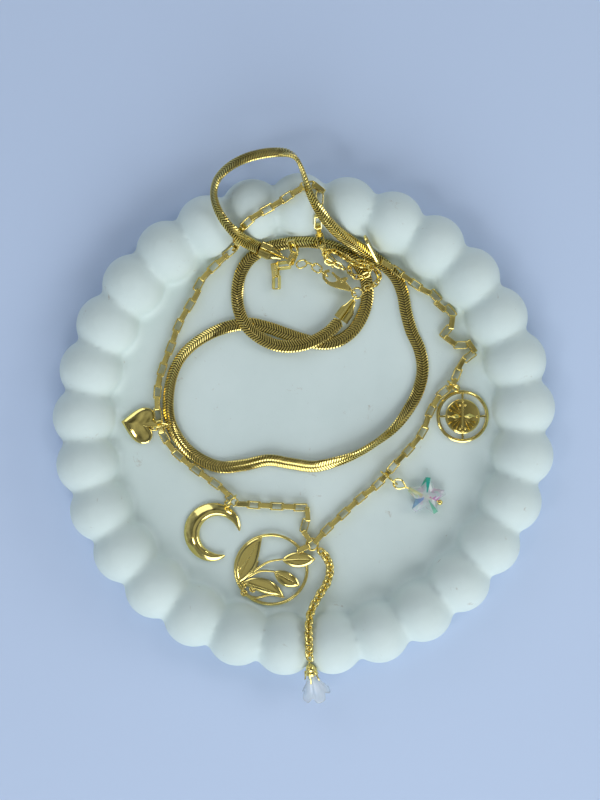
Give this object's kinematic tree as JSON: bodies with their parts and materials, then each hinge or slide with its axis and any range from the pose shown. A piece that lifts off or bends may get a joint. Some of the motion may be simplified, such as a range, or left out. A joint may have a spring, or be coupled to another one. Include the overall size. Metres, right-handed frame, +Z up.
{
  "type": "layered charm necklace on a bubble-edged jewellery tray",
  "caption": "Gold herringbone and box chain necklace with hanging charms, laid on a round tray with a rim of half-round bubbles.",
  "frame": {"origin": "centre of the tray's flat underside", "axes": "+Z up out of the tray, +Y towards the loop that hangs over the rim, +X to the right as the tray is looked at from above"},
  "size_m": [0.1698, 0.185, 0.0256],
  "materials": {
    "tray_plaster": "matt cast mineral composite, faintly pitted, unglazed",
    "gold_band": "gold-plated flat herringbone band with fine slanted ribs, bright satin",
    "gold_links": "gold-plated wire and box links, polished, darker in the recesses",
    "polished_gold": "gold-plated castings, findings and clasp, high polish",
    "coated_crystal": "clear faceted crystal with an iridescent coating",
    "petals": "translucent white moulded petals, glossy"
  },
  "bodies": {
    "necklace_and_tray": {"tray": "tray_plaster", "herringbone_band": "gold_band", "box_chain_left": "gold_links", "box_chain_right": "gold_links", "tail_links": "gold_links", "oval_links": "gold_links", "drop_chain": "gold_links", "curb_chain": "gold_links", "clasp_end_cap": "polished_gold", "tail_end_cap": "polished_gold", "clasp_ring": "polished_gold", "clasp_body": "polished_gold", "heart_charm_ring": "polished_gold", "heart_charm": "polished_gold", "moon_charm_ring": "polished_gold", "moon_charm": "polished_gold", "medallion_ring": "polished_gold", "medallion": "polished_gold", "star_ring": "polished_gold", "star_pin": "polished_gold", "centre_ring": "polished_gold", "pendant_link": "polished_gold", "leaf_pendant": "polished_gold", "flower_cap": "polished_gold", "tag_plate": "polished_gold", "star_crystal": "coated_crystal", "flower_petals": "petals"},
    "clasp_lever": {"clasp_lever": "polished_gold"}
  },
  "joints": [
    {"name": "lever_pivot", "type": "hinge", "parent": "necklace_and_tray", "child": "clasp_lever", "pos_m": [0.01262, 0.04821, 0.0089], "axis": [0, 0, 1], "range_deg": [0, 25], "stiffness_Nm_per_rad": 0.004, "springref_deg": -17.19}
  ]
}
